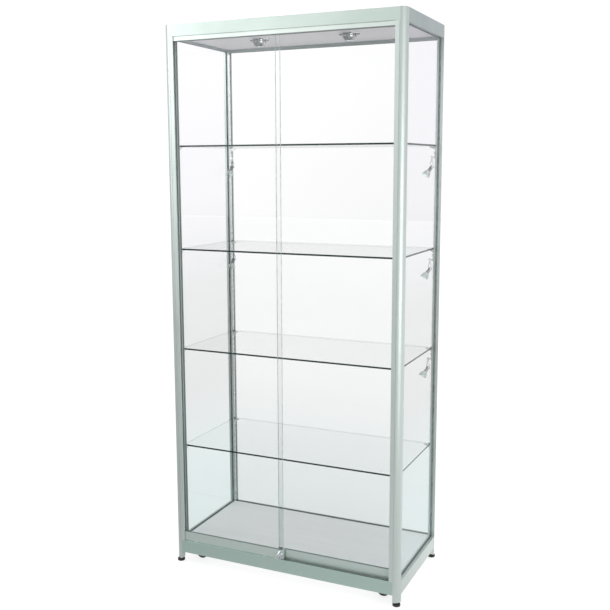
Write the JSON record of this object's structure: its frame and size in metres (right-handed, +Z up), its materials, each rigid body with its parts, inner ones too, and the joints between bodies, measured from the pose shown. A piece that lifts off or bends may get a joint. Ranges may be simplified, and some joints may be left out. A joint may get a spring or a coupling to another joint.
{
  "type": "glass display showcase",
  "caption": "Tall freestanding showcase: anodised metal frame, clear glass walls and sliding doors, adjustable glass shelves, ceiling downlights, post spotlights, castors and levelling feet.",
  "frame": {"origin": "on the floor at the centre of the frame's footprint", "axes": "+X to the right seen from the front, +Y to the rear, +Z up; the doors face -Y"},
  "size_m": [0.902, 0.471, 2],
  "materials": {
    "anodised_frame": "satin anodised, pale green-grey",
    "track_aluminium": "satin anodised",
    "laminate": "light grey melamine laminate",
    "pane_glass": "clear tempered",
    "shelf_glass": "clear tempered, polished green edges",
    "strip_steel": "zinc plated",
    "zinc_steel": "zinc plated",
    "chrome_trim": "polished",
    "roller_nylon": "moulded nylon",
    "castor_tread": "hard black rubber",
    "foot_black": "black moulded pad on a steel stem"
  },
  "bodies": {
    "case": {"post_front_left": "anodised_frame", "post_front_right": "anodised_frame", "post_rear_left": "anodised_frame", "post_rear_right": "anodised_frame", "base_rail_front": "anodised_frame", "base_rail_rear": "anodised_frame", "base_rails_side": "anodised_frame", "header_front": "anodised_frame", "header_rear": "anodised_frame", "headers_side": "anodised_frame", "top_panel": "laminate", "ceiling_panel": "laminate", "deck": "laminate", "side_glass": "pane_glass", "back_glass": "pane_glass", "shelf_1": "shelf_glass", "shelf_2": "shelf_glass", "shelf_3": "shelf_glass", "shelf_4": "shelf_glass", "shelf_standards": "strip_steel", "shelf_clips": "strip_steel", "door_track_top": "track_aluminium", "door_track_bottom": "track_aluminium", "castor_plates": "zinc_steel", "lamp_brackets": "chrome_trim", "downlight_bezels": "chrome_trim"},
    "door_left": {"door_left_shoe": "track_aluminium", "door_left_glass": "pane_glass", "lock_barrel": "chrome_trim"},
    "door_right": {"door_right_shoe": "track_aluminium", "door_right_glass": "pane_glass"},
    "lock_plunger": {"lock_plunger": "chrome_trim"},
    "roller_left_a": {"roller_left_a": "roller_nylon"},
    "roller_left_b": {"roller_left_b": "roller_nylon"},
    "roller_right_a": {"roller_right_a": "roller_nylon"},
    "roller_right_b": {"roller_right_b": "roller_nylon"},
    "castor_fork_fl": {"castor_fork_fl": "zinc_steel"},
    "castor_wheel_fl": {"castor_wheel_fl": "castor_tread"},
    "castor_fork_fr": {"castor_fork_fr": "zinc_steel"},
    "castor_wheel_fr": {"castor_wheel_fr": "castor_tread"},
    "castor_fork_rl": {"castor_fork_rl": "zinc_steel"},
    "castor_wheel_rl": {"castor_wheel_rl": "castor_tread"},
    "castor_fork_rr": {"castor_fork_rr": "zinc_steel"},
    "castor_wheel_rr": {"castor_wheel_rr": "castor_tread"},
    "foot_fl": {"foot_fl": "foot_black"},
    "foot_fr": {"foot_fr": "foot_black"},
    "foot_rl": {"foot_rl": "foot_black"},
    "foot_rr": {"foot_rr": "foot_black"},
    "eyeball_left": {"eyeball_left": "chrome_trim"},
    "eyeball_right": {"eyeball_right": "chrome_trim"},
    "lamp_r_top_arm": {"lamp_r_top_arm": "chrome_trim"},
    "lamp_r_top_head": {"lamp_r_top_head": "chrome_trim"},
    "lamp_r_mid_arm": {"lamp_r_mid_arm": "chrome_trim"},
    "lamp_r_mid_head": {"lamp_r_mid_head": "chrome_trim"},
    "lamp_r_low_arm": {"lamp_r_low_arm": "chrome_trim"},
    "lamp_r_low_head": {"lamp_r_low_head": "chrome_trim"},
    "lamp_l_top_arm": {"lamp_l_top_arm": "chrome_trim"},
    "lamp_l_top_head": {"lamp_l_top_head": "chrome_trim"},
    "lamp_l_mid_arm": {"lamp_l_mid_arm": "chrome_trim"},
    "lamp_l_mid_head": {"lamp_l_mid_head": "chrome_trim"}
  },
  "joints": [
    {"name": "door_left_slide", "type": "slide", "parent": "case", "child": "door_left", "axis": [1, 0, 0], "range_m": [0, 0.4]},
    {"name": "door_right_slide", "type": "slide", "parent": "case", "child": "door_right", "axis": [-1, 0, 0], "range_m": [0, 0.4]},
    {"name": "lock_push", "type": "slide", "parent": "door_left", "child": "lock_plunger", "axis": [0, 1, 0], "range_m": [0, 0.008]},
    {"name": "roller_left_a_spin", "type": "hinge", "parent": "door_left", "child": "roller_left_a", "pos_m": [-0.366, -0.215, 0.09005], "axis": [0, 1, 0], "continuous": true},
    {"name": "roller_left_b_spin", "type": "hinge", "parent": "door_left", "child": "roller_left_b", "pos_m": [-0.071, -0.215, 0.09005], "axis": [0, 1, 0], "continuous": true},
    {"name": "roller_right_a_spin", "type": "hinge", "parent": "door_right", "child": "roller_right_a", "pos_m": [0.035, -0.201, 0.09005], "axis": [0, 1, 0], "continuous": true},
    {"name": "roller_right_b_spin", "type": "hinge", "parent": "door_right", "child": "roller_right_b", "pos_m": [0.346, -0.201, 0.09005], "axis": [0, 1, 0], "continuous": true},
    {"name": "castor_swivel_fl", "type": "hinge", "parent": "case", "child": "castor_fork_fl", "pos_m": [-0.36, -0.161, 0.066], "axis": [0, 0, 1], "continuous": true},
    {"name": "castor_roll_fl", "type": "hinge", "parent": "castor_fork_fl", "child": "castor_wheel_fl", "pos_m": [-0.372, -0.161, 0.024], "axis": [0, 1, 0], "continuous": true},
    {"name": "castor_swivel_fr", "type": "hinge", "parent": "case", "child": "castor_fork_fr", "pos_m": [0.36, -0.161, 0.066], "axis": [0, 0, 1], "continuous": true},
    {"name": "castor_roll_fr", "type": "hinge", "parent": "castor_fork_fr", "child": "castor_wheel_fr", "pos_m": [0.372, -0.161, 0.024], "axis": [0, 1, 0], "continuous": true},
    {"name": "castor_swivel_rl", "type": "hinge", "parent": "case", "child": "castor_fork_rl", "pos_m": [-0.36, 0.161, 0.066], "axis": [0, 0, 1], "continuous": true},
    {"name": "castor_roll_rl", "type": "hinge", "parent": "castor_fork_rl", "child": "castor_wheel_rl", "pos_m": [-0.372, 0.161, 0.024], "axis": [0, 1, 0], "continuous": true},
    {"name": "castor_swivel_rr", "type": "hinge", "parent": "case", "child": "castor_fork_rr", "pos_m": [0.36, 0.161, 0.066], "axis": [0, 0, 1], "continuous": true},
    {"name": "castor_roll_rr", "type": "hinge", "parent": "castor_fork_rr", "child": "castor_wheel_rr", "pos_m": [0.372, 0.161, 0.024], "axis": [0, 1, 0], "continuous": true},
    {"name": "foot_level_fl", "type": "slide", "parent": "case", "child": "foot_fl", "axis": [0, 0, -1], "range_m": [-0.001, 0.015]},
    {"name": "foot_level_fr", "type": "slide", "parent": "case", "child": "foot_fr", "axis": [0, 0, -1], "range_m": [-0.001, 0.015]},
    {"name": "foot_level_rl", "type": "slide", "parent": "case", "child": "foot_rl", "axis": [0, 0, -1], "range_m": [-0.001, 0.015]},
    {"name": "foot_level_rr", "type": "slide", "parent": "case", "child": "foot_rr", "axis": [0, 0, -1], "range_m": [-0.001, 0.015]},
    {"name": "eyeball_tilt_left", "type": "hinge", "parent": "case", "child": "eyeball_left", "pos_m": [-0.175, -0.015, 1.955], "axis": [1, 0, 0], "range_deg": [-18, 18]},
    {"name": "eyeball_tilt_right", "type": "hinge", "parent": "case", "child": "eyeball_right", "pos_m": [0.175, -0.015, 1.955], "axis": [1, 0, 0], "range_deg": [-18, 18]},
    {"name": "lamp_r_top_swivel", "type": "hinge", "parent": "case", "child": "lamp_r_top_arm", "pos_m": [0.415, 0.194, 1.537], "axis": [0, 0, 1], "range_deg": [-45, 45]},
    {"name": "lamp_r_top_tilt", "type": "hinge", "parent": "lamp_r_top_arm", "child": "lamp_r_top_head", "pos_m": [0.415, 0.194, 1.503], "axis": [0.7071, -0.7071, 0], "range_deg": [-40, 25]},
    {"name": "lamp_r_mid_swivel", "type": "hinge", "parent": "case", "child": "lamp_r_mid_arm", "pos_m": [0.415, 0.194, 1.163], "axis": [0, 0, 1], "range_deg": [-45, 45]},
    {"name": "lamp_r_mid_tilt", "type": "hinge", "parent": "lamp_r_mid_arm", "child": "lamp_r_mid_head", "pos_m": [0.415, 0.194, 1.129], "axis": [0.7071, -0.7071, 0], "range_deg": [-40, 25]},
    {"name": "lamp_r_low_swivel", "type": "hinge", "parent": "case", "child": "lamp_r_low_arm", "pos_m": [0.415, 0.194, 0.789], "axis": [0, 0, 1], "range_deg": [-45, 45]},
    {"name": "lamp_r_low_tilt", "type": "hinge", "parent": "lamp_r_low_arm", "child": "lamp_r_low_head", "pos_m": [0.415, 0.194, 0.755], "axis": [0.7071, -0.7071, 0], "range_deg": [-40, 25]},
    {"name": "lamp_l_top_swivel", "type": "hinge", "parent": "case", "child": "lamp_l_top_arm", "pos_m": [-0.415, 0.194, 1.537], "axis": [0, 0, 1], "range_deg": [-8, 82]},
    {"name": "lamp_l_top_tilt", "type": "hinge", "parent": "lamp_l_top_arm", "child": "lamp_l_top_head", "pos_m": [-0.415, 0.194, 1.503], "axis": [0.9903, 0.1392, 0], "range_deg": [-40, 25]},
    {"name": "lamp_l_mid_swivel", "type": "hinge", "parent": "case", "child": "lamp_l_mid_arm", "pos_m": [-0.415, 0.194, 1.163], "axis": [0, 0, 1], "range_deg": [-8, 82]},
    {"name": "lamp_l_mid_tilt", "type": "hinge", "parent": "lamp_l_mid_arm", "child": "lamp_l_mid_head", "pos_m": [-0.415, 0.194, 1.129], "axis": [0.9903, 0.1392, 0], "range_deg": [-40, 25]}
  ],
  "couplings": [
    {"joint": "roller_left_a_spin", "follows": "door_left_slide", "rad_per_m": 125},
    {"joint": "roller_left_b_spin", "follows": "door_left_slide", "rad_per_m": 125},
    {"joint": "roller_right_a_spin", "follows": "door_right_slide", "rad_per_m": -125},
    {"joint": "roller_right_b_spin", "follows": "door_right_slide", "rad_per_m": -125}
  ]
}
